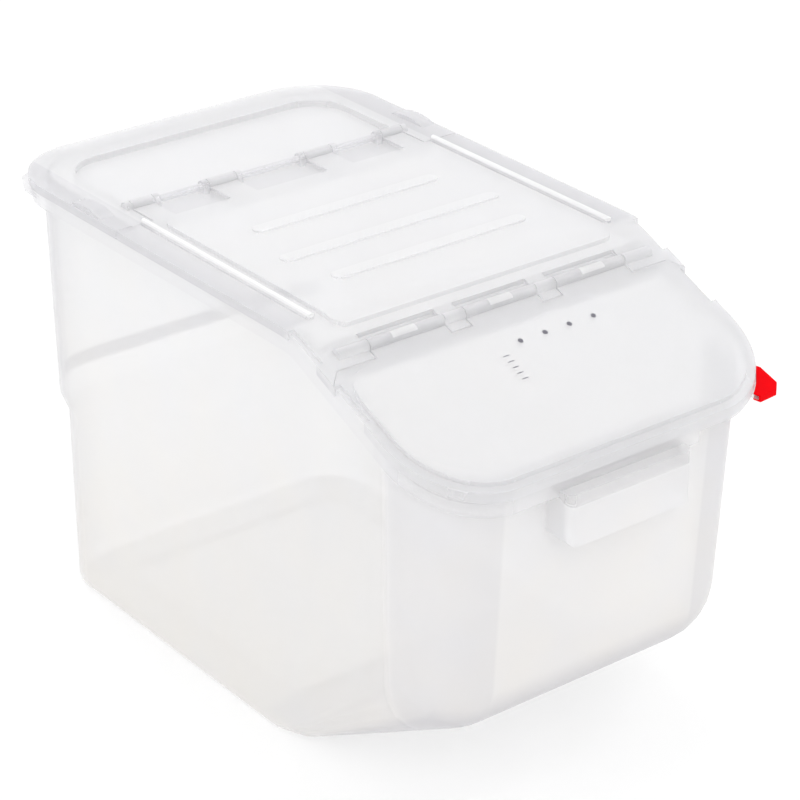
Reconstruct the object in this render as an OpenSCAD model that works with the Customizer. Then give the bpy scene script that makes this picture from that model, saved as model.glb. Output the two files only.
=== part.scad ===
// Shelf ingredient bin for rice or flour: an open tub with a sloping front
// rim, closed by a fixed rear lid, a hinged middle lid and a hinged front flap.
// Units are millimetres. +Z is up and the low front of the bin faces -Y.
// Inside the modules, y = -d, where d is the distance from the lid's rear edge.

/* [Rim] */
// Width over the rim of the tub
rim_w = 346; // [320:1:380]
// Length over the rim of the tub
rim_l = 600.4; // [560:0.2:640]
// Height of the level stretch of the rim
rim_h = 384; // [360:1:410]
// Distance from the lid's rear edge to where the rim starts to slope down
bend_d = 421.5; // [410:0.5:430]
// Slope of the rim at the front
slope = 23.1; // [20:0.1:26]
// Radius of the bend in side view
bend_r = 60; // [40:1:80]
// Plan radius of the rim's rear corners
rim_rear_r = 66; // [60:1:80]
// Plan radius of the rim's front corners
rim_front_r = 70; // [60:1:80]
// Height of the skirt that hangs from the rim
skirt_h = 18; // [15:0.5:24]
// Thickness of the skirt
skirt_t = 2.2; // [1.6:0.1:3]
// Thickness of the flange between wall and skirt
flange_t = 2.6; // [2:0.1:3.4]

/* [Tub] */
// Wall and floor thickness
wall_t = 2.6; // [2:0.1:3.4]
// Width over the side walls at rim height
body_top_w = 324; // [316:1:328]
// Width over the side walls at the base
body_base_w = 318; // [300:1:322]
// Rear wall under the rim, from the lid's rear edge
rear_top_d = 12.5; // [10:0.5:15]
// Rear wall just above the ledge
rear_ledge_d = 16.5; // [15.5:0.5:22]
// Rear wall below the ledge
rear_low_d = 30; // [26:1:36]
// Height of the ledge in the rear wall
ledge_z = 171; // [150:1:200]
// Height of the sloping face of the ledge
ledge_h = 12; // [6:1:18]
// Plan radius of the rear wall corners
wall_rear_r = 53; // [46:1:60]
// Plan radius of the front wall corners
wall_front_r = 60; // [50:1:64]
// Distance of the front wall behind the rim's front edge, at the height of the lower front corners
front_back = 23.7; // [18:0.1:38]
// Draft of the front wall
front_draft = 3.4; // [2:0.1:4]
// Centre height of the rounded lower front corners
chin_z = 127; // [118:0.5:140]
// Centre of the floor's front corners
floor_front_d = 365; // [345:1:380]
// Plan radius of the floor's front corners
floor_front_r = 24; // [18:1:40]
// Edge radius round the floor
floor_edge_r = 7; // [5:1:12]
// Length of the soft bend between floor and bevel
floor_bend_l = 27; // [15:1:45]
// Rise of the soft bend between floor and bevel
floor_bend_h = 7.9; // [4:0.1:14]

/* [Base panel] */
// Width of the raised panel in the floor
panel_w = 238; // [200:1:246]
// Length of the raised panel
panel_l = 262; // [220:1:270]
// Distance of the panel from the lid's rear edge
panel_d = 78; // [72:1:90]
// Plan radius of the panel's corners
panel_r = 16; // [10:1:24]
// How far the panel is raised
panel_rise = 2.4; // [1.5:0.1:3]

/* [Front handle] */
// Width of the handle
handle_w = 124; // [90:1:150]
// How far the handle's face stands in front of the lid
handle_ahead = 9; // [5:0.5:13]
// Height of the handle's lower edge
handle_low_z = 246; // [235:1:255]
// Thickness of the handle's face and cheeks
handle_t = 2.4; // [2:0.1:3.2]
// Radius of the handle's lower corners
handle_r = 10; // [6:1:18]
// Radius of the upright edges of the handle
handle_edge_r = 7; // [4:0.5:9]

/* [Lid sections] */
// Thickness of the lid plates
lid_t = 2.4; // [2:0.1:3]
// Gap between lid plates and rim
lid_gap = 0.3; // [0.2:0.05:0.4]
// Thickness of the lip that hangs outside the rim
lip_t = 2; // [1.6:0.1:2.4]
// Depth of the lip below the rim
lip_h = 4.8; // [3.5:0.1:5]
// How far the outline steps back where the lip is left out
gap_depth = 6; // [4:0.5:8]
// Depth of the plug wall that goes inside the tub
plug_h = 6.5; // [4:0.5:9]
// Thickness of the plug wall
plug_t = 2; // [1.6:0.1:2.6]
// Gap between plug wall and tub wall
plug_gap = 1.2; // [0.8:0.1:2]
// Front end of the rear lid's flange, and rear end of the middle lid
split_d = 184; // [180:1:188]
// Gap between neighbouring lid sections
split_gap = 1; // [0.6:0.1:1.6]

/* [Rear lid] */
// Width of the sunk field in the rear lid
well_w = 276; // [250:1:280]
// Width of the hinge trough in front of the sunk field
trough_w = 282; // [280:1:290]
// Distance of the sunk field from the rear edge
well_d = 38; // [34:1:44]
// Depth of the sunk field
well_h = 5.5; // [5.4:0.1:7]
// Plan radius of the sunk field's rear corners
well_r = 36; // [24:1:44]
// Length of the ledge under the middle lid
lap_l = 6; // [4:0.5:9]

/* [Middle lid] */
// Distance between the two side rails
rail_span = 298; // [294:1:302]
// Diameter of the rails
rail_dia = 8; // [5:0.1:9]
// Height of the rails
rail_h = 4.6; // [3:0.1:6]
// Width of the raised panel between the rails
top_panel_w = 278; // [260:1:282]
// Rear end of the raised panel
top_panel_d = 196; // [192:1:210]
// Height of the raised panel
top_panel_h = 3.4; // [2:0.1:3.6]
// Front end of the rails
rail_end_d = 415; // [405:1:418]
// Height of the three cross ribs
rib_h = 1.6; // [1:0.1:2.4]
// Width of the three cross ribs
rib_w = 13; // [9:1:16]

/* [Front flap] */
// Height of the raised field on the flap
field_h = 3.2; // [2:0.1:4]
// Distance of the raised field from the flap's edges
field_inset = 6; // [5:0.5:9]
// Rear edge of the raised field
field_rear_d = 474; // [471:0.5:480]
// Chamfer of the flap's rear corners
flap_chamfer = 11; // [8:1:16]

/* [Hinges] */
// Rear hinge pin, from the lid's rear edge
rear_pin_d = 150; // [147:1:154]
// Front hinge pin, from the lid's rear edge
front_pin_d = 454; // [450:1:458]
// Distance from the front pin back to the edge of the windows
hinge_back = 13; // [10:0.5:15]
// Distance from the front pin forward to the plate of the flap
hinge_front = 13; // [10:0.5:15]
// Diameter of the moulded hinge pins
pin_dia = 6; // [5:0.1:6.6]
// Radial running clearance of the hooks on the pins
pin_play = 0.05; // [0.03:0.01:0.08]
// Diameter of hooks, lugs and knuckles
barrel_dia = 10.4; // [9.6:0.1:10.8]
// Width of the snap mouth of the hooks
mouth_w = 4.8; // [4:0.1:5.2]
// Side gap between hooks and their neighbours
side_gap = 1; // [0.6:0.1:1.5]
// Width of the centre window of both hinges
window_w = 72; // [60:1:76]

/* [Colour clip] */
// Thickness of the corner tabs that take a clip
tab_t = 2.5; // [2:0.1:3]
// Depth of the front tab's upper face below the rim
tab_drop = 5.3; // [5.2:0.1:6.5]
// Depth of the rear tab's upper face below the rim
rear_tab_drop = 9; // [5.2:0.1:11]
// Wall thickness of the clip
clip_t = 1.4; // [1.2:0.1:2.2]
// How far from the corner the skirt is cut short under the clip
relief_l = 95; // [80:1:110]

/* [Hidden] */
eps = 0.01;
fine = 96;
hull_fn = 32;

// Height of the discs that carry the tub's corners
disc_h = 1;

// Steps of the bend in side view
bend_steps = 14;

// Outline of the lid sections, which hang over the rim
lip_out = lid_gap + lip_t;
lid_w = rim_w + 2 * lip_out;
lid_l = rim_l + 2 * lip_out;
overall_l = lid_l + handle_ahead;
lid_top = lid_gap + lid_t;
slope_tan = tan(slope);

// Hinge widths, each given as [inner, outer] distance from the middle
rear_arms = [[36, 63], [118, 139]];
knuckles = [[window_w / 2, 55], [128, 156]];
hook_spans = [[-window_w / 2, window_w / 2], [55, 128], [-128, -55]];
lug_w = 5;

// Cross ribs of the middle lid: [distance from the rear edge, length]
cross_ribs = [[260, 186], [320, 218], [370, 192]];

// Stretches without a lip at the front: [rear end, front end], distances from the rear edge
lip_gaps = [[420, 456], [478, 514]];

// How far the front knuckles stand out of the tongues that carry them
knuckle_step = 0.5;

// Low pads beside the ends of the rear hinge
pad_w = 14;
pad_h = 4;
pad_l = 46;
pad_d = 135;

// Half width of the tub at height z
function half_w(z) = (body_base_w + (body_top_w - body_base_w) * z / rim_h) / 2;

// Distance of the front wall from the lid's rear edge at height z
function front_d(z) = lip_out + rim_l - front_back + (z - chin_z) * tan(front_draft);

// Height of the rim's upper face at distance d
function rim_z(d) = d < bend_d ? rim_h : rim_h - (d - bend_d) * slope_tan;

// Height of a hinge pin, which lies level with the top of the lid plates
function pin_z(d) = rim_z(d) + lid_top / (d < bend_d ? 1 : cos(slope));

// Puts the middle of the overall length on the origin
module at_rear_edge() {
    translate([0, overall_l / 2, 0]) children();
}

// Extrudes a side-view outline, drawn as [y, z], across the bin
module across(width, x = 0) {
    translate([x, 0, 0]) rotate([90, 0, 90]) linear_extrude(height = width, center = true) children();
}

// Rounded rectangle from distance d0 to d1, with its own radii at rear and front; 0 leaves a corner square
module plan(width, d0, d1, rear_r, front_r) {
    x = width / 2;
    rear = [[-x, -d0 - rear_r], [-x + rear_r, -d0 - rear_r], [-x + rear_r, -d0]];
    front = [[x, -d1 + front_r], [x - front_r, -d1 + front_r], [x - front_r, -d1]];
    polygon(concat(
        rear_r > 0 ? rear : [[-x, -d0]],
        rear_r > 0 ? [for (k = [2:-1:0]) [-rear[k][0], rear[k][1]]] : [[x, -d0]],
        front_r > 0 ? front : [[x, -d1]],
        front_r > 0 ? [for (k = [2:-1:0]) [-front[k][0], front[k][1]]] : [[-x, -d1]]
    ));
    for (side = [-1, 1]) {
        if (rear_r > 0) quadrant(side, 1, side * (x - rear_r), -d0 - rear_r, rear_r);
        if (front_r > 0) quadrant(side, -1, side * (x - front_r), -d1 + front_r, front_r);
    }
}

// Quarter disc at x, y that faces the signs sx and sy
module quadrant(sx, sy, x, y, r) {
    translate([x, y]) intersection() {
        circle(r, $fn = fine);
        translate([sx < 0 ? -2 * r : 0, sy < 0 ? -2 * r : 0]) square(2 * r);
    }
}

// Outline of the rim, made smaller by inset_by
module rim_plan(inset_by) {
    plan(
        rim_w - 2 * inset_by, lip_out + inset_by, lip_out + rim_l - inset_by,
        rim_rear_r - inset_by, rim_front_r - inset_by
    );
}

// Side view of everything below the rim line raised by h
module below_rim(h) {
    arc_d = bend_d - bend_r * tan(slope / 2);
    r = bend_r + h;
    run = lid_l - arc_d;
    arc = [for (k = [0:bend_steps]) [
        -arc_d - r * sin(slope * k / bend_steps), rim_h - bend_r + r * cos(slope * k / bend_steps)
    ]];
    end = arc[bend_steps];
    polygon(concat(
        [[60, -60], [60, rim_h + h]], arc,
        [[end[0] - run * cos(slope), end[1] - run * sin(slope)], [end[0] - run * cos(slope), -60]]
    ));
}

// A plate that follows the rim line: the children's plan, from height h0 to h1 over the rim
module along_rim(h0, h1) {
    intersection() {
        linear_extrude(height = rim_h + 40) children();
        difference() {
            across(lid_w + 20) below_rim(h1);
            across(lid_w + 30) below_rim(h0);
        }
    }
}

// Round-edged foot disc, part of the tub's hull
module foot(r, edge) {
    rotate_extrude($fn = hull_fn) translate([r - edge, 0]) circle(edge, $fn = hull_fn);
}

// Disc that carries a corner of the tub at one height, part of the tub's hull
module corner_disc(x, d, z, r) {
    translate([x, -d, z]) cylinder(r = r, h = disc_h, $fn = hull_fn);
}

// Lower part of the tub's form, up to the ledge, made smaller by t
module lower_form(t) {
    edge = floor_edge_r;
    hull() {
        for (side = [-1, 1]) {
            translate([side * (half_w(edge) - wall_rear_r), -rear_low_d - wall_rear_r, edge])
                foot(wall_rear_r - t, edge - t);
            translate([side * (half_w(edge) - floor_front_r), -floor_front_d, edge])
                foot(floor_front_r - t, edge - t);
            translate([
                side * (half_w(edge) - floor_front_r), -floor_front_d - floor_bend_l, edge + floor_bend_h
            ]) foot(floor_front_r - t, edge - t);
            translate([side * (half_w(chin_z) - wall_front_r), -front_d(chin_z) + wall_front_r, chin_z])
                sphere(wall_front_r - t, $fn = hull_fn);
            corner_disc(
                side * (half_w(ledge_z) - wall_rear_r), rear_low_d + wall_rear_r, ledge_z, wall_rear_r - t
            );
            corner_disc(
                side * (half_w(ledge_z) - wall_front_r), front_d(ledge_z) - wall_front_r, ledge_z,
                wall_front_r - t
            );
        }
    }
}

// Upper part of the tub's form, from the ledge to height top_z, made smaller by t
module upper_form(t, top_z) {
    hull() {
        for (side = [-1, 1]) {
            for (level = [
                [ledge_z, rear_low_d], [ledge_z + ledge_h, rear_ledge_d], [top_z, rear_top_d]
            ]) {
                z = level[0];
                corner_disc(
                    side * (half_w(z) - wall_rear_r), level[1] + wall_rear_r, z, wall_rear_r - t
                );
            }
            for (z = [ledge_z, top_z]) {
                corner_disc(
                    side * (half_w(z) - wall_front_r), front_d(z) - wall_front_r, z, wall_front_r - t
                );
            }
        }
    }
}

// Flange and hanging skirt round the mouth of the tub
module rim() {
    difference() {
        along_rim(-skirt_h, 0) rim_plan(0);
        intersection() {
            linear_extrude(height = rim_h) rim_plan(skirt_t);
            across(rim_w) below_rim(-flange_t);
        }
        clip_relief();
    }
}

// Space under the clip, where the skirt is cut short so that the clip slides on
module clip_relief() {
    top = -tab_drop - tab_t - clip_t - lid_gap;
    along_rim(-skirt_h - skirt_t, top)
        translate([rim_w / 2 - relief_l, -lip_out - rim_l - lip_out])
            square([relief_l + lip_out, relief_l + lip_out]);
}

// Outline of the rear left tab, a blunt corner
module rear_tab_plan() {
    x = rim_w / 2;
    polygon([
        [-x, -lip_out - rim_rear_r], [-x, -lip_out - rim_rear_r * 0.55], [-x + 12, -lip_out - 12],
        [-x + rim_rear_r * 0.5, -lip_out], [-x + rim_rear_r, -lip_out], [-x + rim_rear_r, -lip_out - rim_rear_r]
    ]);
}

// Outline of the clip's corner, made smaller by inset_by, which is also that of the front right tab
module clip_plan(inset_by) {
    round_off = rim_front_r * (1 - cos(45));
    x = rim_w / 2 - inset_by - round_off;
    y = -lip_out - rim_l + inset_by + round_off;
    polygon([
        [x + 14.5, y + 6.5], [x + 16.5, y - 10.5], [x + 11.5, y - 15.5], [x - 6.5, y - 16.5],
        [x - round_off, y], [x, y + round_off]
    ]);
}

// Both corner tabs, outside the skirt
module tabs() {
    along_rim(-rear_tab_drop - tab_t, -rear_tab_drop) difference() {
        rear_tab_plan();
        rim_plan(skirt_t / 2);
    }
    along_rim(-tab_drop - tab_t, -tab_drop) difference() {
        clip_plan(clip_t);
        rim_plan(skirt_t / 2);
    }
}

// Pull handle under the front rim, open below
module handle() {
    top_z = rim_z(lip_out + rim_l) - skirt_h + flange_t;
    wall_d = front_d(handle_low_z) - wall_t / 2;
    difference() {
        intersection() {
            linear_extrude(height = top_z)
                plan(handle_w, wall_d, overall_l, 0, handle_edge_r);
            translate([0, -wall_d, 0]) rotate([90, 0, 0]) linear_extrude(height = rim_l)
                handle_front(top_z);
        }
        translate([0, 0, handle_low_z - eps]) linear_extrude(height = top_z - handle_low_z - handle_t)
            plan(
                handle_w - 2 * handle_t, wall_d - wall_t, overall_l - handle_t,
                0, handle_edge_r - handle_t
            );
    }
}

// Front view of the handle, with rounded lower corners
module handle_front(top_z) {
    x = handle_w / 2;
    low = handle_low_z + handle_r;
    translate([-x, low]) square([handle_w, top_z - low]);
    translate([-x + handle_r, handle_low_z]) square([handle_w - 2 * handle_r, handle_r + eps]);
    for (side = [-1, 1]) translate([side * (x - handle_r), low]) circle(handle_r, $fn = fine);
}

// Raised panel of the floor, from height z0 to z1, made smaller by inset_by
module base_panel(z0, z1, inset_by) {
    translate([0, 0, z0]) linear_extrude(height = z1 - z0)
        plan(
            panel_w - 2 * inset_by, panel_d + inset_by, panel_d + panel_l - inset_by,
            panel_r - inset_by, panel_r - inset_by
        );
}

module tub() {
    color([0.93, 0.93, 0.95, 0.6]) at_rear_edge() {
        difference() {
            union() {
                intersection() {
                    union() {
                        lower_form(0);
                        upper_form(0, rim_h);
                    }
                    across(rim_w) below_rim(-flange_t / 2);
                }
                rim();
                tabs();
                handle();
            }
            lower_form(wall_t);
            upper_form(wall_t, rim_h + 1);
            base_panel(-1, panel_rise, wall_t);
        }
        base_panel(panel_rise, wall_t + panel_rise, 0);
    }
}

// A hinge pin across the bin, at distance d
module pin(d, length) {
    translate([0, -d, pin_z(d)]) rotate([0, 90, 0])
        cylinder(d = pin_dia, h = length, center = true, $fn = fine);
}

// A knuckle or lug round the pin from x0 to x1, with a post of width post_w going down by drop
module knuckle(x0, x1, drop, post_w) {
    translate([x0, 0, 0]) rotate([0, 90, 0]) cylinder(d = barrel_dia, h = x1 - x0, $fn = fine);
    translate([x0, -post_w / 2, -drop]) cube([x1 - x0, post_w, drop]);
}

// A snap hook round the pin from x0 to x1, without its bore
module hook_body(x0, x1) {
    translate([x0, 0, 0]) rotate([0, 90, 0]) cylinder(d = barrel_dia, h = x1 - x0, $fn = fine);
}

// What a hook leaves free: the bore and the snap mouth below it
module hook_bore(x0, x1) {
    translate([x0 - eps, 0, 0]) rotate([0, 90, 0])
        cylinder(d = pin_dia + 2 * pin_play, h = x1 - x0 + 2 * eps, $fn = fine);
    translate([x0 - eps, -mouth_w / 2, -barrel_dia])
        cube([x1 - x0 + 2 * eps, mouth_w, barrel_dia]);
}

// Low rounded pad on the outer edge of a lid, in side view an arc
module pad(side, d, length) {
    r = (length * length / 4 + pad_h * pad_h) / (2 * pad_h);
    x = side * (lid_w / 2 - lip_t - pad_w / 2);
    intersection() {
        translate([x, -d, rim_z(d) + lid_top + pad_h - r])
            rotate([0, 90, 0]) cylinder(r = r, h = pad_w, center = true, $fn = 4 * fine);
        translate([x - pad_w / 2, -d - length / 2, rim_z(d) + lid_gap + lid_t / 2])
            cube([pad_w, length, pad_h + lid_t]);
    }
}

// Sunk field of the rear lid, with the hinge trough in front of it
module well_plan(inset_by, front_d) {
    rear = rear_pin_d - barrel_dia;
    plan(well_w - 2 * inset_by, well_d + inset_by, front_d, well_r - inset_by, 0);
    translate([-trough_w / 2 + inset_by, -front_d])
        square([trough_w - 2 * inset_by, front_d - rear - inset_by]);
}

module rear_lid() {
    lap_d = split_d + lap_l;
    color([0.92, 0.92, 0.95, 0.6]) at_rear_edge() {
        difference() {
            union() {
                // Plate, lip and plug wall, as far as the split
                along_rim(lid_gap, lid_top) rear_half() lid_plan(0);
                along_rim(-lip_h, lid_top) rear_half() difference() {
                    lid_plan(0);
                    lid_plan(lip_t);
                }
                along_rim(-plug_h, lid_top) rear_half() plug_ring();
                // Walls and floor of the sunk field
                translate([0, 0, rim_h + lid_top - well_h - lid_t])
                    linear_extrude(height = well_h + lid_t) well_plan(-lid_t, lap_d);
            }
            translate([0, 0, rim_h + lid_top - well_h])
                linear_extrude(height = 2 * well_h) well_plan(0, lap_d + 1);
            // The side walls of the lap ledge stay under the middle lid
            translate([-well_w, -lap_d - 1, rim_h])
                cube([2 * well_w, lap_d + 1 - split_d, lid_t + well_h]);
        }
        // Rib that closes the gap under the middle lid
        translate([-trough_w / 2, -lap_d, rim_h + lid_top - well_h - eps])
            cube([trough_w, lid_t, well_h - lid_top + eps]);
        pin(rear_pin_d, 2 * (rear_arms[1][1] + side_gap + lug_w));
        for (side = [-1, 1]) {
            pad(side, pad_d, pad_l);
            for (arm = rear_arms) {
                for (x = [arm[0] - side_gap - lug_w, arm[1] + side_gap]) {
                    lug(side * (x + lug_w / 2));
                }
            }
        }
    }
}

// Lug that carries the rear pin, standing on the floor of the trough
module lug(x) {
    translate([0, -rear_pin_d, pin_z(rear_pin_d)])
        knuckle(x - lug_w / 2, x + lug_w / 2, well_h + lid_t / 2, barrel_dia);
}

// Outline of the lid, made smaller by inset_by
module lid_plan(inset_by) {
    rim_plan(inset_by - lip_out);
}

// Plug wall inside the mouth of the tub
module plug_ring() {
    top_w = 2 * half_w(rim_h);
    out = wall_t + plug_gap;
    front = front_d(rim_z(lip_out + rim_l));
    difference() {
        plan(top_w - 2 * out, rear_top_d + out, front - out, wall_rear_r - out, wall_front_r - out);
        plan(
            top_w - 2 * (out + plug_t), rear_top_d + out + plug_t, front - out - plug_t,
            wall_rear_r - out - plug_t, wall_front_r - out - plug_t
        );
    }
}

// Keeps what lies behind the split
module rear_half() {
    intersection() {
        children();
        translate([-lid_w, -split_d]) square([2 * lid_w, 2 * split_d]);
    }
}

// Stretches on both sides where a lid section lies inside the rim
module lip_gap_plan() {
    for (side = [-1, 1]) {
        for (gap = lip_gaps) {
            translate([side * lid_w / 2 - gap_depth, -gap[1]]) square([2 * gap_depth, gap[1] - gap[0]]);
        }
    }
}

// Outline of the middle lid
module middle_plan() {
    x = lid_w / 2;
    rear = split_d + split_gap;
    front = front_pin_d + hinge_front - split_gap;
    corner = front + flap_chamfer;
    difference() {
        polygon([
            [-x, -rear], [x, -rear], [x, -corner], [x - flap_chamfer, -front],
            [-x + flap_chamfer, -front], [-x, -corner]
        ]);
        lip_gap_plan();
    }
}

// Outline of the raised panel of the middle lid, made smaller by inset_by
module top_panel_plan(inset_by) {
    front = front_pin_d - hinge_back - 3 * lid_t;
    r = 12;
    plan(
        top_panel_w - 2 * inset_by, top_panel_d + inset_by, front - inset_by,
        r - inset_by, r - inset_by
    );
}

// Stadium outline across the bin
module stadium(length, width) {
    square([length - width, width], center = true);
    for (side = [-1, 1]) translate([side * (length - width) / 2, 0]) circle(d = width, $fn = fine);
}

module middle_lid() {
    color([0.95, 0.95, 0.96, 0.6]) at_rear_edge() {
        difference() {
            union() {
                difference() {
                    union() {
                        along_rim(lid_gap, lid_top) middle_plan();
                        along_rim(-lip_h, lid_top) difference() {
                            middle_plan();
                            lid_plan(lip_t);
                        }
                        along_rim(lid_top - eps, lid_top + top_panel_h) top_panel_plan(0);
                    }
                    along_rim(-lid_gap, lid_top + top_panel_h - lid_t) top_panel_plan(lid_t);
                    // Windows for the hooks of the flap
                    for (span = hook_spans) {
                        translate([
                            span[0] - knuckle_step, -front_pin_d - 2 * hinge_front,
                            rim_z(front_pin_d) - skirt_h
                        ]) cube([
                            span[1] - span[0] + 2 * knuckle_step, 2 * hinge_front + hinge_back, 2 * skirt_h
                        ]);
                    }
                }
                // Arms back to the rear pin
                for (side = [-1, 1]) {
                    for (arm = rear_arms) {
                        x0 = side < 0 ? -arm[1] : arm[0];
                        arm_w = arm[1] - arm[0];
                        translate([0, -rear_pin_d, pin_z(rear_pin_d)]) hook_body(x0, x0 + arm_w);
                        translate([x0, -split_d - split_gap - eps, rim_h + lid_gap])
                            cube([arm_w, split_d + split_gap + eps - rear_pin_d, lid_t]);
                    }
                }
            }
            for (side = [-1, 1]) {
                for (arm = rear_arms) {
                    x0 = side < 0 ? -arm[1] : arm[0];
                    translate([0, -rear_pin_d, pin_z(rear_pin_d)])
                        hook_bore(x0, x0 + arm[1] - arm[0]);
                }
            }
        }
        for (side = [-1, 1]) rail(side);
        for (rib = cross_ribs) {
            translate([0, -rib[0], rim_h + lid_top + top_panel_h - eps])
                linear_extrude(height = rib_h + eps) stadium(rib[1], rib_w);
        }
        front_hinge();
    }
}

// Round-topped rail along one side of the middle lid
module rail(side) {
    rear = split_d + split_gap;
    length = rail_end_d - rear;
    translate([side * rail_span / 2, -rear - length / 2, rim_h + lid_top]) intersection() {
        rotate([90, 0, 0]) linear_extrude(height = length, center = true) union() {
            translate([0, rail_h - rail_dia / 2]) circle(d = rail_dia, $fn = fine);
            translate([-rail_dia / 2, -lid_t / 2]) square([rail_dia, rail_h - rail_dia / 2 + lid_t / 2]);
        }
        translate([0, 0, -lid_t / 2]) linear_extrude(height = 2 * rail_dia) rotate(90) stadium(length, rail_dia - 0.2);
    }
}

// Knuckles, pin and trough at the front of the middle lid
module front_hinge() {
    trough_top = -lid_gap - barrel_dia / 2;
    x = knuckles[1][1];
    lap = hinge_front + 2 * lid_t;
    pin(front_pin_d, 2 * x);
    translate([0, -front_pin_d, pin_z(front_pin_d)]) rotate([slope, 0, 0]) {
        for (span = knuckles) {
            for (side = [-1, 1]) {
                x0 = side < 0 ? -span[1] : span[0];
                knuckle(x0, x0 + span[1] - span[0], -trough_top + lid_t / 2, barrel_dia * 0.7);
            }
        }
        // Trough under the hooks, with a rib that closes the gap under the flap
        translate([-x, -lap, trough_top - lid_t]) cube([2 * x, lap + hinge_back + lid_t, lid_t]);
        translate([-x, hinge_back, trough_top - lid_t]) cube([2 * x, lid_t, -trough_top + lid_t - eps]);
        translate([-x, -lap, trough_top - lid_t]) cube([2 * x, lid_t, -trough_top - lid_top + lid_t]);
    }
}

// Outline of the flap, with chamfered rear corners
module flap_plan(inset_by) {
    rear = front_pin_d + hinge_front;
    chamfer = 2 * flap_chamfer;
    far = lid_l + 20;
    x = lid_w / 2 + flap_chamfer;
    difference() {
        intersection() {
            lid_plan(inset_by);
            polygon([
                [-x, -far], [-x, -rear - chamfer], [-x + chamfer, -rear],
                [x - chamfer, -rear], [x, -rear - chamfer], [x, -far]
            ]);
        }
        lip_gap_plan();
    }
}

// Raised field of the flap, made smaller by inset_by
module field_plan(inset_by) {
    edge = field_inset + inset_by;
    plan(
        lid_w - 2 * (edge + gap_depth / 2), field_rear_d + inset_by, lid_l - edge,
        rim_front_r / 3 - inset_by, rim_front_r - field_inset - inset_by
    );
}

module front_flap() {
    color([0.96, 0.96, 0.97, 0.6]) at_rear_edge() {
        difference() {
            union() {
                along_rim(lid_gap, lid_top) flap_plan(0);
                along_rim(-lip_h, lid_top) difference() {
                    flap_plan(0);
                    lid_plan(lip_t);
                }
                along_rim(lid_top - eps, lid_top + field_h) field_plan(0);
                for (span = hook_spans) flap_hook(span);
            }
            along_rim(-lip_h, lid_gap + field_h) field_plan(lid_t);
            for (span = hook_spans) {
                translate([0, -front_pin_d, pin_z(front_pin_d)]) rotate([slope, 0, 0])
                    hook_bore(span[0], span[1]);
            }
        }
    }
}

// Hook in one window, joined to the flap's plate
module flap_hook(span) {
    x0 = span[0] + side_gap;
    x1 = span[1] - side_gap;
    reach = hinge_front + 2 * lid_t;
    translate([0, -front_pin_d, pin_z(front_pin_d)]) rotate([slope, 0, 0]) {
        hook_body(x0, x1);
        translate([x0, -reach, -lid_t]) cube([x1 - x0, reach, lid_t]);
    }
}

// Clip that snaps over the front right tab
module colour_clip() {
    play = 0.1;
    low = -tab_drop - tab_t - clip_t - play;
    color("red") at_rear_edge() difference() {
        along_rim(low, -tab_drop + clip_t + play) difference() {
            clip_plan(0);
            lid_plan(-2 * lid_gap);
        }
        along_rim(-tab_drop - tab_t - play, -tab_drop + play) clip_plan(clip_t - play);
    }
}

tub();
rear_lid();
middle_lid();
front_flap();
colour_clip();
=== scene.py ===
"""Rice bin with a flip lid: the moulded pieces, their finishes, the studio and the camera."""

import logging
import math
from dataclasses import dataclass
from enum import Enum
from typing import Dict, Optional, Protocol, Sequence, Tuple, Union

import bmesh
import bpy
from mathutils import Matrix, Vector


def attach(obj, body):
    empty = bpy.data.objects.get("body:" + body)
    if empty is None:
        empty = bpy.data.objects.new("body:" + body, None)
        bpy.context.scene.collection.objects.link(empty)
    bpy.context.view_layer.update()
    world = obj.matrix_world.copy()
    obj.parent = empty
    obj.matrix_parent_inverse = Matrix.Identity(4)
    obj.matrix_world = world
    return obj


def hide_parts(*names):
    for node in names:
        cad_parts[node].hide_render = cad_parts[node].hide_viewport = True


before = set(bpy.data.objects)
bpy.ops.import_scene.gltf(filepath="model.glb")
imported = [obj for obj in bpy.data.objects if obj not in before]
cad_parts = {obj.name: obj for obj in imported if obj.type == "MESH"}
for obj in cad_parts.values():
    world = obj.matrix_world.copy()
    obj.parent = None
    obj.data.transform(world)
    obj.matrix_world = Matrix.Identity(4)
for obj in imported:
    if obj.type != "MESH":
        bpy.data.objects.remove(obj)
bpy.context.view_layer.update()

LOG = logging.getLogger("rice_bin")
MM = 0.001

# The rim is level from the rear to the bend and falls towards the front from there, in metres.
RIM_TOP = 0.384
RIM_BEND = -0.1145
RIM_ANGLE = math.radians(23.1)

Colour = Tuple[float, float, float, float]
Point = Tuple[float, float, float]
Ranges = Tuple[Tuple[float, float], ...]
Socket = bpy.types.NodeSocket
Tree = bpy.types.NodeTree
Share = Union[Socket, float]


class Body(Enum):
    """The bodies of the bin that move on their own."""

    TUB = "tub"
    MIDDLE = "middle_lid"
    FRONT = "front_flap"


class Slot(Enum):
    """The record's material slots."""

    BODY = "clear_body"
    LID = "clear_lid"
    CLIP = "red_clip"


def linear(hex_code: str) -> Colour:
    """Turn an sRGB hex colour into Blender's linear colour.

    Args:
        hex_code: A colour such as "#f4f3f6".

    Returns:
        Red, green, blue and an alpha of 1.
    """
    values = [int(hex_code[i : i + 2], 16) / 255 for i in (1, 3, 5)]
    low = [v / 12.92 if v <= 0.04045 else ((v + 0.055) / 1.055) ** 2.4 for v in values]
    return (low[0], low[1], low[2], 1.0)


def add(tree: Tree, kind: str, links: Optional[Dict] = None, **settings) -> bpy.types.Node:
    """Add a node with its settings, socket values and links.

    Args:
        tree: The node tree.
        kind: The node's type name.
        links: What each input takes: a value, or an output socket to join.
        settings: Properties of the node itself.

    Returns:
        The new node.
    """
    node = tree.nodes.new(kind)
    for name, value in settings.items():
        setattr(node, name, value)
    for name, value in (links or {}).items():
        if isinstance(value, Socket):
            tree.links.new(value, node.inputs[name])
        else:
            node.inputs[name].default_value = value
    return node


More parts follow.
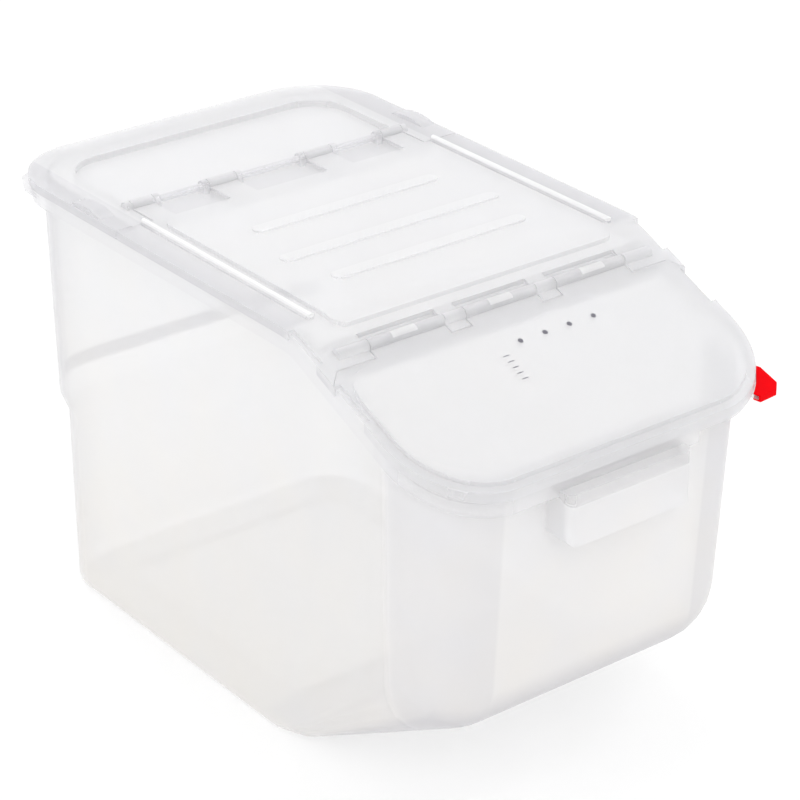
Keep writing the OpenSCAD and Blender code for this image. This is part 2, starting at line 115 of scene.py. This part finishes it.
def fresh_material(name: str) -> Tuple[bpy.types.Material, Tree]:
    """Make an empty node material.

    Args:
        name: The material's name.

    Returns:
        The material and its tree.
    """
    material = bpy.data.materials.new(name)
    material.use_nodes = True
    material.node_tree.nodes.clear()
    return material, material.node_tree


def stand(name: str, data: bpy.types.ID) -> bpy.types.Object:
    """Put a mesh, lamp or camera in the scene.

    Args:
        name: The object's name.
        data: Its mesh, lamp or camera data.

    Returns:
        The new object, at the origin.
    """
    thing = bpy.data.objects.new(name, data)
    bpy.context.scene.collection.objects.link(thing)
    return thing


def bin_places(tree: Tree, place: Socket) -> Dict[str, Socket]:
    """Work out where a point lies on the bin.

    Args:
        tree: The material's tree.
        place: The object coordinates.

    Returns:
        The distances across from the middle, along the bin and below the rim, by Zone's names.
    """
    at = add(tree, "ShaderNodeSeparateXYZ", {"Vector": place}).outputs
    across = add(tree, "ShaderNodeMath", {0: at["X"]}, operation="ABSOLUTE").outputs[0]
    fall = math.tan(RIM_ANGLE)
    slope = add(
        tree, "ShaderNodeMath",
        {0: at["Y"], 1: fall, 2: RIM_TOP - RIM_BEND * fall}, operation="MULTIPLY_ADD",
    ).outputs[0]
    rim = add(tree, "ShaderNodeMath", {0: slope, 1: RIM_TOP}, operation="MINIMUM").outputs[0]
    below = add(tree, "ShaderNodeMath", {0: rim, 1: at["Z"]}, operation="SUBTRACT").outputs[0]
    return {"across": across, "along": at["Y"], "below_rim": below}


@dataclass(frozen=True)
class Zone:
    """A part of a moulding that differs from the single wall round it: painted lavender shade,
    partly where walls lie two deep; a painted white highlight; a more closed wall.

    Each range is (nothing, full) in metres: the effect rises from the first value to the second.
    """

    strength: float
    across: Ranges = ()
    along: Ranges = ()
    below_rim: Ranges = ()

    def mask(self, tree: Tree, at: Dict[str, Socket]) -> Socket:
        """Multiply the zone's ranges.

        Args:
            tree: The material's tree.
            at: What bin_places gives.

        Returns:
            The socket that carries the zone's strength at each point.
        """
        share = None
        for name, value in at.items():
            for nothing, full in getattr(self, name):
                top = self.strength if share is None else 1.0
                step = add(
                    tree, "ShaderNodeMapRange",
                    {"Value": value, "From Min": nothing, "From Max": full, "To Max": top},
                ).outputs["Result"]
                share = step if share is None else add(
                    tree, "ShaderNodeMath", {0: share, 1: step}, operation="MULTIPLY",
                ).outputs[0]
        return share


def strongest(tree: Tree, at: Dict[str, Socket], zones: Sequence[Zone]) -> Share:
    """Join the masks of some zones.

    Args:
        tree: The material's tree.
        at: What bin_places gives.
        zones: The zones.

    Returns:
        The socket that carries the strongest mask at each point, or 0 where there is no zone.
    """
    masks = [zone.mask(tree, at) for zone in zones]
    joined = masks[0] if masks else 0.0
    for mask in masks[1:]:
        joined = add(
            tree, "ShaderNodeMath", {0: joined, 1: mask}, operation="MAXIMUM",
        ).outputs[0]
    return joined


class Finish(Protocol):
    """Anything that can make the material of a piece."""

    def build(self) -> bpy.types.Material:
        """Build the material."""


@dataclass(frozen=True)
class NaturalPolypropylene:
    """Unpigmented polypropylene, injection moulded: milky and see-through, with a satin skin.

    The haze in the wall spreads what is behind it, and the skin gives soft, wide highlights.
    Where the wall is seen along its length it closes up. Corners, recesses, the sloping floor and
    the parts under the lip get painted lavender shade, partly where walls lie two deep; the rails,
    rib tops and barrel tops get painted white highlights; and low down the plastic is painted a
    little warmer, as if warmer light gathered in the bin.
    """

    name: str
    tint: str = "#f5f5f7"
    # A warmer tint in random haze patches, and painted warmer light low in the bin.
    haze_and_painted_light_tint: str = "#faf5ef"
    # Painted lavender shade, partly where walls lie two deep.
    shade_and_doubled_tint: str = "#d8d7dc"
    # Painted white highlights on the rails, the rib tops and the barrel tops.
    highlight_white: str = "#ffffff"
    # The tint that light takes on inside the plastic, and how fast it takes it on.
    through: str = "#cfcfda"
    depth: float = 2.4
    index: float = 1.49
    roughness: float = 0.34
    roughness_less: float = 0.04
    roughness_more: float = 0.05
    # How much a wall hides where it is seen square on, and where it is seen along its length.
    clearness: float = 0.1
    cover: float = 0.16
    edge_cover: float = 1.0
    slant: float = 0.2
    # The warmer tint is painted on most below the first height and least above the second, in
    # metres, as painted warmer light gathered low in the bin.
    painted_light_from: float = 0.02
    painted_light_to: float = 0.3
    painted_light_shift: float = 0.35
    # The haze is as wide as the cloudy patches that the melt leaves. The skin's real grain is a
    # tenth of a millimetre or so, which is too fine to show, so it is drawn coarser.
    haze_mm: float = 55.0
    skin_mm: float = 1.6
    skin_height_mm: float = 0.4
    skin_depth: float = 0.05
    shaded_and_doubled: Tuple[Zone, ...] = ()
    painted_highlights: Tuple[Zone, ...] = ()
    milky: Tuple[Zone, ...] = ()

    def tone(
        self, tree: Tree, place: Socket, haze: Socket, shaded_and_doubled: Share, painted_highlight: Share,
    ) -> Socket:
        """Mix the wall's colours.

        Args:
            tree: The material's tree.
            place: The object coordinates.
            haze: The haze pattern.
            shaded_and_doubled: The mask of the painted lavender shade, partly where walls lie two
                deep.
            painted_highlight: The mask of the painted white highlights.

        Returns:
            The colour socket.
        """
        # Painted warmer light: the mix leans to the warmer tint low in the bin, on top of the
        # haze.
        height = add(tree, "ShaderNodeSeparateXYZ", {"Vector": place}).outputs["Z"]
        low = add(
            tree, "ShaderNodeMapRange",
            {
                "Value": height, "From Min": self.painted_light_from, "From Max": self.painted_light_to,
                "To Min": self.painted_light_shift, "To Max": -self.painted_light_shift,
            },
        ).outputs["Result"]
        haze_and_painted_light = add(
            tree, "ShaderNodeMath", {0: haze, 1: low}, operation="ADD", use_clamp=True,
        ).outputs[0]
        tone = linear(self.tint)
        # Mix in the warmer tint with its painted light, then the painted lavender shade, then the
        # painted white highlights.
        for share, shade in ((haze_and_painted_light, self.haze_and_painted_light_tint), (shaded_and_doubled, self.shade_and_doubled_tint), (painted_highlight, self.highlight_white)):
            tone = add(
                tree, "ShaderNodeMix", {"Factor": share, "A": tone, "B": linear(shade)},
                data_type="RGBA",
            ).outputs["Result"]
        return tone

    def closing(self, tree: Tree, painted_highlight: Share, milky: Share) -> Socket:
        """Work out how much the wall hides what is behind it.

        Args:
            tree: The material's tree.
            painted_highlight: The mask of the painted white highlights, which also close the wall.
            milky: The mask of the walls that are milkier.

        Returns:
            The socket that carries the cover, from 0 to 1.
        """
        slant = add(tree, "ShaderNodeLayerWeight", {"Blend": self.slant}).outputs["Facing"]
        cover = add(
            tree, "ShaderNodeMapRange",
            {"Value": slant, "To Min": self.cover, "To Max": self.edge_cover},
        ).outputs["Result"]
        # The painted highlights and the milkier walls both hide more of what lies behind.
        for closed_mask in (painted_highlight, milky):
            cover = add(
                tree, "ShaderNodeMath", {0: cover, 1: closed_mask}, operation="MAXIMUM",
            ).outputs[0]
        return cover

    def build(self) -> bpy.types.Material:
        """Build the material.

        Returns:
            The finished material.
        """
        material, tree = fresh_material(self.name)
        place = add(tree, "ShaderNodeTexCoord").outputs["Object"]
        at = bin_places(tree, place)
        # Masks of the painted lavender shade (partly where walls lie two deep), of the painted
        # white highlights and of the milkier walls.
        shaded_and_doubled, painted_highlight, milky = [
            strongest(tree, at, zones) for zones in (self.shaded_and_doubled, self.painted_highlights, self.milky)
        ]
        haze = add(
            tree, "ShaderNodeTexNoise",
            {"Vector": place, "Scale": 1 / (self.haze_mm * MM), "Detail": 2.0},
        ).outputs["Fac"]
        skin = add(
            tree, "ShaderNodeTexNoise",
            {"Vector": place, "Scale": 1 / (self.skin_mm * MM), "Detail": 3.0},
        ).outputs["Fac"]
        gloss = add(
            tree, "ShaderNodeMapRange",
            {
                "Value": haze, "To Min": self.roughness - self.roughness_less,
                "To Max": self.roughness + self.roughness_more,
            },
        )
        bump = add(
            tree, "ShaderNodeBump",
            {"Height": skin, "Strength": self.skin_depth, "Distance": self.skin_height_mm * MM},
        )
        surface = add(
            tree, "ShaderNodeBsdfPrincipled",
            {
                "Base Color": self.tone(tree, place, haze, shaded_and_doubled, painted_highlight),
                "Roughness": gloss.outputs["Result"],
                "IOR": self.index,
                "Transmission Weight": self.clearness,
                "Alpha": self.closing(tree, painted_highlight, milky),
                "Normal": bump.outputs["Normal"],
            },
        )
        bulk = add(
            tree, "ShaderNodeVolumeAbsorption",
            {"Color": linear(self.through), "Density": self.depth},
        )
        add(
            tree, "ShaderNodeOutputMaterial",
            {"Surface": surface.outputs["BSDF"], "Volume": bulk.outputs["Volume"]},
        )
        return material


@dataclass(frozen=True)
class OpaqueFinish:
    """A finish that hides what is under it: two near shades and a fine relief from one grain."""

    name: str
    tint: str
    shade: str
    roughness: float
    index: float
    grain_mm: float
    relief_mm: float
    relief: float
    gloss: float = 0.5

    def build(self) -> bpy.types.Material:
        """Build the material.

        Returns:
            The finished material.
        """
        material, tree = fresh_material(self.name)
        place = add(tree, "ShaderNodeTexCoord").outputs["Object"]
        grain = add(
            tree, "ShaderNodeTexNoise",
            {"Vector": place, "Scale": 1 / (self.grain_mm * MM), "Detail": 2.0},
        ).outputs["Fac"]
        colour = add(
            tree, "ShaderNodeMix",
            {"Factor": grain, "A": linear(self.tint), "B": linear(self.shade)}, data_type="RGBA",
        )
        bump = add(
            tree, "ShaderNodeBump",
            {"Height": grain, "Strength": self.relief, "Distance": self.relief_mm * MM},
        )
        surface = add(
            tree, "ShaderNodeBsdfPrincipled",
            {
                "Base Color": colour.outputs["Result"],
                "Roughness": self.roughness,
                "IOR": self.index,
                "Specular IOR Level": self.gloss,
                "Normal": bump.outputs["Normal"],
            },
        )
        add(tree, "ShaderNodeOutputMaterial", {"Surface": surface.outputs["BSDF"]})
        return material


@dataclass(frozen=True)
class RedAbs(OpaqueFinish):
    """Coloured ABS, injection moulded: one strong, even red with a low, soft gloss.

    The pigment's real grain is too fine to show, so its two near shades lie in patches of 6 mm.
    """

    name: str = "abs_red_moulded_gloss"
    tint: str = "#f30410"
    shade: str = "#e60512"
    roughness: float = 0.45
    index: float = 1.53
    grain_mm: float = 6.0
    relief_mm: float = 0.3
    relief: float = 0.05
    gloss: float = 0.02


@dataclass(frozen=True)
class PadPrint(OpaqueFinish):
    """Pad-printed ink: a thin, flat, matt film, a little uneven where the pad lifted.

    The ink's real grain is too fine to show, so it is drawn at 1.5 mm.
    """

    name: str = "ink_grey_pad_printed_matt"
    tint: str = "#64636c"
    shade: str = "#7f7e87"
    roughness: float = 0.6
    index: float = 1.5
    grain_mm: float = 1.5
    relief_mm: float = 0.02
    relief: float = 0.1


# Places on the tub, in metres.
# Painted lavender shade: under the lip, partly over the skirt where walls lie two deep; in the
# rounded corners; on the sloping floor, where the shadow under the bin shows through; along the
# rear ledge.
UNDER_LIP_SHADE = Zone(0.15, below_rim=((0.021, 0.018),))
FRONT_CORNER_SHADE = Zone(0.26, across=((0.1005, 0.1035),), along=((-0.2125, -0.2155),))
REAR_CORNER_SHADE = Zone(0.34, across=((0.104, 0.114),), along=((0.232, 0.246),))
SLOPING_FLOOR_SHADOW = Zone(
    0.7, across=((0.15, 0.142),), along=((-0.026, -0.036),), below_rim=((0.2, 0.235),),
)
REAR_LEDGE_SHADE = Zone(
    0.6, across=((0.145, 0.135),), along=((0.262, 0.268),),
    below_rim=((0.183, 0.187), (0.201, 0.197)),
)
MILKY_LEDGE = Zone(0.7, REAR_LEDGE_SHADE.across, REAR_LEDGE_SHADE.along, REAR_LEDGE_SHADE.below_rim)
MILKY_FRONT = Zone(0.62, along=((-0.2, -0.216),), below_rim=((0.019, 0.022),))

# Places on the lid sections, in metres. The windows lie between the rear hinge's arms.
# Painted lavender shade in the windows of the rear hinge and the channel of the front hinge,
# recesses where shade falls; the side margins, where the lid lies two deep on the rim, take the
# same lavender.
SIDE_MARGINS = Zone(0.42, across=((0.149, 0.1505),), along=((-0.112, -0.106),))
WINDOWS_ALONG = ((0.12, 0.13), (0.176, 0.168))
MIDDLE_WINDOW_SHADE = Zone(0.26, across=((0.039, 0.0335),), along=WINDOWS_ALONG)
OUTER_WINDOW_SHADE = Zone(0.26, across=((0.06, 0.0655), (0.121, 0.1155)), along=WINDOWS_ALONG)
FRONT_CHANNEL_SHADE = Zone(0.4, along=((-0.165, -0.162), (-0.131, -0.134)), below_rim=((0.0005, 0.002),))
# Painted white highlights along the rails, the rib tops and the barrel tops, where the lamps would
# catch them.
RAIL_HIGHLIGHTS = Zone(
    0.8, across=((0.1445, 0.146), (0.1535, 0.152)), along=((-0.112, -0.109),),
    below_rim=((-0.0034, -0.0046),),
)
RIB_HIGHLIGHTS = Zone(
    0.35, across=((0.12, 0.118),), along=((-0.105, -0.1), (0.1, 0.095)),
    below_rim=((-0.0064, -0.0076),),
)
BARRELS_ALONG = ((-0.153, -0.1515), (-0.141, -0.1425))
BARREL_TOPS = ((-0.0055, -0.007),)
MIDDLE_BARREL_HIGHLIGHT = Zone(0.7, across=((0.0145, 0.0105),), along=BARRELS_ALONG, below_rim=BARREL_TOPS)
OUTER_BARREL_HIGHLIGHTS = Zone(
    0.7, across=((0.079, 0.083), (0.109, 0.105)), along=BARRELS_ALONG, below_rim=BARREL_TOPS,
)

# The tub came from a spark-eroded tool: its satin skin gives no sharp reflection, and light comes
# through the sides.
WALL = NaturalPolypropylene(
    "polypropylene_natural_moulded_satin",
    haze_and_painted_light_tint="#faf7f3",
    # Painted lavender shade zones.
    shaded_and_doubled=(SLOPING_FLOOR_SHADOW, REAR_LEDGE_SHADE, UNDER_LIP_SHADE, FRONT_CORNER_SHADE, REAR_CORNER_SHADE),
    milky=(MILKY_FRONT, MILKY_LEDGE),
)

# The lid sections came from a smoother tool: they look shinier than the tub, and a little more
# closed.
LID = NaturalPolypropylene(
    "polypropylene_natural_moulded_gloss",
    tint="#f2f2f4",
    haze_and_painted_light_tint="#f4f3f3",
    roughness=0.2,
    clearness=0.35,
    cover=0.4,
    # Painted lavender shade zones.
    shaded_and_doubled=(SIDE_MARGINS, MIDDLE_WINDOW_SHADE, OUTER_WINDOW_SHADE, FRONT_CHANNEL_SHADE),
    # Painted white highlights on the rails, rib tops and barrel tops.
    painted_highlights=(RAIL_HIGHLIGHTS, RIB_HIGHLIGHTS, MIDDLE_BARREL_HIGHLIGHT, OUTER_BARREL_HIGHLIGHTS),
)


@dataclass
class Moulding:
    """One moulding: the CAD node's own surface, merged, with its edges rounded as a mould does."""

    node: str
    body: Body
    slot: Slot
    finish: Finish
    merge_mm: float = 0.002
    edge_round_mm: float = 0.5
    round_steps: int = 2
    smooth_angle: float = 13.0
    flat_weight: int = 100

    def surface(self) -> bpy.types.Mesh:
        """Copy the CAD node's triangles and merge their corners.

        Returns:
            The merged mesh.
        """
        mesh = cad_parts[self.node].data.copy()
        mesh.name = f"{self.node}_moulding"
        form = bmesh.new()
        form.from_mesh(mesh)
        bmesh.ops.remove_doubles(form, verts=form.verts, dist=self.merge_mm * MM)
        form.to_mesh(mesh)
        form.free()
        return mesh

    def round_edges(self, piece: bpy.types.Object) -> None:
        """Round the sharp edges, and keep the flat faces flat.

        Args:
            piece: The moulding.
        """
        angle = math.radians(self.smooth_angle)
        piece.data.shade_smooth()
        piece.data.set_sharp_from_angle(angle=angle)
        rounding = piece.modifiers.new("edge_rounding", "BEVEL")
        rounding.width = self.edge_round_mm * MM
        rounding.segments = self.round_steps
        rounding.limit_method = "ANGLE"
        rounding.angle_limit = angle
        rounding.use_clamp_overlap = True
        rounding.harden_normals = False
        facing = piece.modifiers.new("flat_faces_stay_flat", "WEIGHTED_NORMAL")
        facing.keep_sharp = False
        facing.weight = self.flat_weight

    def build(self) -> bpy.types.Object:
        """Build and dress the moulding.

        Returns:
            The finished object.
        """
        mesh = self.surface()
        piece = stand(f"{self.node}_moulding", mesh)
        mesh.materials.clear()
        mesh.materials.append(self.finish.build())
        self.round_edges(piece)
        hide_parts(self.node)
        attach(piece, self.body.value)
        return piece


@dataclass
class Tub(Moulding):
    """The bin body with its rim, handle, ledge and floor. Its wide corners take a wider angle."""

    node: str = "tub"
    body: Body = Body.TUB
    slot: Slot = Slot.BODY
    finish: Finish = WALL
    smooth_angle: float = 20.0


@dataclass
class RearLid(Moulding):
    """The fixed rear section of the lid, with the rear hinge's pin."""

    node: str = "rear_lid"
    body: Body = Body.TUB
    slot: Slot = Slot.LID
    finish: Finish = LID


@dataclass
class MiddleLid(Moulding):
    """The section that flips up on the rear hinge, and carries the front hinge's pin."""

    node: str = "middle_lid"
    body: Body = Body.MIDDLE
    slot: Slot = Slot.LID
    finish: Finish = LID


@dataclass
class FrontFlap(Moulding):
    """The sloping flap that hooks on the front pin."""

    node: str = "front_flap"
    body: Body = Body.FRONT
    slot: Slot = Slot.LID
    finish: Finish = LID


@dataclass
class ColourClip(Moulding):
    """The clip on the rim's front right corner."""

    node: str = "colour_clip"
    body: Body = Body.TUB
    slot: Slot = Slot.CLIP
    finish: Finish = RedAbs()


@dataclass
class FlapMarks:
    """Plain dots and ticks printed on the flap, laid out by Geometry Nodes.

    Sizes are in millimetres. The first dot's place is given across the bin, up the flap's slope
    from where the rim starts to fall, and above that slope. The film is sunk in the flap by half
    its thickness and a little more, so that no gap shows under it.
    """

    finish: Finish = PadPrint()
    first_dot: Point = (-11.5, -77.8, 5.88)
    dots: int = 4
    dot_across: float = 4.6
    dot_gap: float = 24.5
    ticks: int = 5
    ticks_from: Point = (-21.0, -9.0, 0.0)
    tick_long: float = 7.0
    tick_wide: float = 0.9
    tick_gap: float = 6.2
    film: float = 0.1
    round_sides: int = 24

    def sizes(self) -> Dict[str, Union[int, float]]:
        """Give the values of the tree's named inputs.

        Returns:
            A number of marks, or a size in metres, by each input's name.
        """
        return {
            "Dots": self.dots, "Dot gap": self.dot_gap * MM, "Dot across": self.dot_across * MM,
            "Ticks": self.ticks, "Tick gap": self.tick_gap * MM, "Tick long": self.tick_long * MM,
            "Tick wide": self.tick_wide * MM, "Film": self.film * MM,
        }

    def tree(self) -> Tree:
        """Build the node tree: a row of dots and a column of ticks.

        Returns:
            The tree, whose inputs are those of sizes and the ink.
        """
        tree = bpy.data.node_groups.new("row_of_dots_and_column_of_ticks", "GeometryNodeTree")
        face = tree.interface
        for name, value in self.sizes().items():
            kind = "NodeSocketInt" if isinstance(value, int) else "NodeSocketFloat"
            face.new_socket(name=name, in_out="INPUT", socket_type=kind)
        face.new_socket(name="Ink", in_out="INPUT", socket_type="NodeSocketMaterial")
        face.new_socket(name="Geometry", in_out="OUTPUT", socket_type="NodeSocketGeometry")
        size = add(tree, "NodeGroupInput").outputs
        # A disc one metre across, which each mark scales to its own size.
        disc = add(
            tree, "GeometryNodeMeshCylinder",
            {"Vertices": self.round_sides, "Radius": 0.5, "Depth": size["Film"]},
        ).outputs["Mesh"]
        down = add(
            tree, "ShaderNodeMath", {0: size["Tick gap"], 1: -1.0}, operation="MULTIPLY",
        ).outputs[0]
        first = (0.0, 0.0, 0.0)
        lines = (
            ("Dots", first, {"X": size["Dot gap"]}, "Dot across", "Dot across"),
            ("Ticks", self.ticks_from, {"Y": down}, "Tick long", "Tick wide"),
        )
        both = add(tree, "GeometryNodeJoinGeometry")
        for count, start, gap, across, up in lines:
            step = add(tree, "ShaderNodeCombineXYZ", gap).outputs[0]
            points = add(
                tree, "GeometryNodeMeshLine",
                {"Count": size[count], "Start Location": [v * MM for v in start], "Offset": step},
            ).outputs[0]
            scale = add(
                tree, "ShaderNodeCombineXYZ", {"X": size[across], "Y": size[up], "Z": 1.0},
            ).outputs[0]
            marks = add(
                tree, "GeometryNodeInstanceOnPoints",
                {"Points": points, "Instance": disc, "Scale": scale},
            ).outputs["Instances"]
            tree.links.new(marks, both.inputs[0])
        real = add(tree, "GeometryNodeRealizeInstances", {"Geometry": both.outputs[0]}).outputs[0]
        inked = add(tree, "GeometryNodeSetMaterial", {"Geometry": real, "Material": size["Ink"]})
        add(tree, "NodeGroupOutput", {"Geometry": inked.outputs[0]})
        return tree

    def flat_mesh(self) -> bpy.types.Mesh:
        """Run the tree and make its result a plain mesh, flat, with the first dot at the origin.

        Returns:
            The mesh.
        """
        values = {**self.sizes(), "Ink": self.finish.build()}
        base = stand("flap_marks_layout", bpy.data.meshes.new("flap_marks_layout"))
        layout = base.modifiers.new("marks", "NODES")
        layout.node_group = self.tree()
        for item in layout.node_group.interface.items_tree:
            if item.in_out == "INPUT":
                layout[item.identifier] = values[item.name]
        ready = base.evaluated_get(bpy.context.evaluated_depsgraph_get())
        mesh = bpy.data.meshes.new_from_object(ready)
        mesh.name = "flap_marks"
        base.modifiers.remove(layout)
        bpy.data.objects.remove(base)
        return mesh

    def build(self) -> bpy.types.Object:
        """Set the marks on the flap.

        Returns:
            The finished object.
        """
        mesh = self.flat_mesh()
        slope = Matrix.Translation((0, RIM_BEND, RIM_TOP)) @ Matrix.Rotation(RIM_ANGLE, 4, "X")
        mesh.transform(slope @ Matrix.Translation([v * MM for v in self.first_dot]))
        piece = stand("flap_marks", mesh)
        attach(piece, Body.FRONT.value)
        return piece


@dataclass(frozen=True)
class Softbox:
    """A square soft lamp: its centre and side in metres, and its power in watts."""

    place: Point
    size: float
    power: float


@dataclass
class Studio:
    """A pale floor, a white surround and soft lamps."""

    floor_size: float = 30.0
    floor_drop: float = 0.0002
    floor_tone: str = "#f4f4f4"
    # The floor's own glow, and its share in what is seen of the floor.
    lift: float = 1.1
    lift_share: float = 0.5
    # How much of the surround's white lights the bin.
    ambient: float = 0.95
    aim: Point = (0, 0, 0.2)
    lamps: Sequence[Softbox] = (
        Softbox((-1.0, -1.9, 1.9), 1.2, 9.5),
        Softbox((0.37, 1.97, 2.01), 0.7, 9.0),
        Softbox((1.52, -0.9, 2.35), 0.7, 6.0),
        Softbox((-1.9, 0.4, 1.2), 0.9, 3.0),
    )

    def build(self) -> None:
        """Build the surround, the floor and the lamps."""
        self.surround()
        self.floor()
        for i, lamp in enumerate(self.lamps):
            self.hang(f"soft_lamp_{i}", lamp)

    @staticmethod
    def looking(tree: Tree) -> Socket:
        """Tell the rays that show the background from those that only light the bin.

        Args:
            tree: The tree of a material or of the world.

        Returns:
            The socket that is 1 for rays from the camera, from gloss and through clear walls,
            and 0 for the rest.
        """
        path = add(tree, "ShaderNodeLightPath").outputs
        seen = path["Is Camera Ray"]
        for kind in ("Is Transmission Ray", "Is Glossy Ray"):
            seen = add(
                tree, "ShaderNodeMath", {0: seen, 1: path[kind]}, operation="MAXIMUM",
            ).outputs[0]
        return seen

    def surround(self) -> None:
        """White to the camera, to gloss and through clear walls; a plain level to the rest."""
        world = bpy.data.worlds.new("white_surround")
        world.use_nodes = True
        tree = world.node_tree
        tree.nodes.clear()
        level = add(
            tree, "ShaderNodeMapRange",
            {"Value": self.looking(tree), "To Min": self.ambient, "To Max": 1.0},
        )
        light = add(
            tree, "ShaderNodeBackground",
            {"Color": (1, 1, 1, 1), "Strength": level.outputs["Result"]},
        )
        add(tree, "ShaderNodeOutputWorld", {"Surface": light.outputs["Background"]})
        bpy.context.scene.world = world

    def floor(self) -> None:
        """A pale floor, lifted to white where no shadow falls."""
        half = self.floor_size / 2
        sides = ((-half, -half), (half, -half), (half, half), (-half, half))
        corners = [(x, y, -self.floor_drop) for x, y in sides]
        mesh = bpy.data.meshes.new("studio_floor")
        mesh.from_pydata(corners, [], [(0, 1, 2, 3)])
        floor = stand("studio_floor", mesh)
        material, tree = fresh_material("studio_paper_matt")
        paper = add(tree, "ShaderNodeBsdfDiffuse", {"Color": linear(self.floor_tone)}).outputs[0]
        glow = add(
            tree, "ShaderNodeEmission", {"Color": (1, 1, 1, 1), "Strength": self.lift},
        ).outputs[0]
        pale = add(
            tree, "ShaderNodeMixShader", {0: self.lift_share, 1: paper, 2: glow},
        ).outputs[0]
        both = add(tree, "ShaderNodeMixShader", {0: self.looking(tree), 1: paper, 2: pale})
        add(tree, "ShaderNodeOutputMaterial", {"Surface": both.outputs["Shader"]})
        mesh.materials.append(material)

    def hang(self, name: str, softbox: Softbox) -> None:
        """Hang one lamp that faces the bin.

        Args:
            name: The lamp's name.
            softbox: Its place, size and power.
        """
        data = bpy.data.lights.new(name, "AREA")
        data.shape = "SQUARE"
        data.size = softbox.size
        data.energy = softbox.power
        lamp = stand(name, data)
        lamp.location = softbox.place
        aim = Vector(self.aim) - Vector(softbox.place)
        lamp.rotation_euler = aim.to_track_quat("-Z", "Y").to_euler()


@dataclass
class StudioCamera:
    """The camera, at the height and side from which such a bin is shown."""

    place: Point = (-1.2765, -1.6682, 1.2922)
    azimuth: float = 37.8217
    elevation: float = 26.9209
    lens: float = 127.484
    sensor: float = 36.0
    shift_up: float = 0.005
    sees_to: float = 100.0

    def build(self) -> bpy.types.Object:
        """Create the camera and make it the scene's own.

        Returns:
            The camera object.
        """
        data = bpy.data.cameras.new("studio_camera")
        data.lens = self.lens
        data.sensor_width = self.sensor
        data.shift_y = self.shift_up
        data.clip_end = self.sees_to
        camera = stand("studio_camera", data)
        turn, tilt = math.radians(self.azimuth), math.radians(self.elevation)
        level = math.cos(tilt)
        look = Vector((math.sin(turn) * level, math.cos(turn) * level, -math.sin(tilt)))
        camera.location = self.place
        camera.rotation_euler = look.to_track_quat("-Z", "Y").to_euler()
        bpy.context.scene.camera = camera
        return camera


def main() -> None:
    """Build the bin, the studio and the camera in order."""
    logging.basicConfig(level=logging.INFO, format="%(name)s: %(message)s")
    bpy.context.scene.view_settings.view_transform = "Standard"
    for part in (Tub(), RearLid(), MiddleLid(), FrontFlap(), ColourClip(), FlapMarks()):
        piece = part.build()
        LOG.info("%s: %d faces", piece.name, len(piece.data.polygons))
    Studio().build()
    StudioCamera().build()
    LOG.info("studio and camera")


if __name__ == "__main__":
    main()
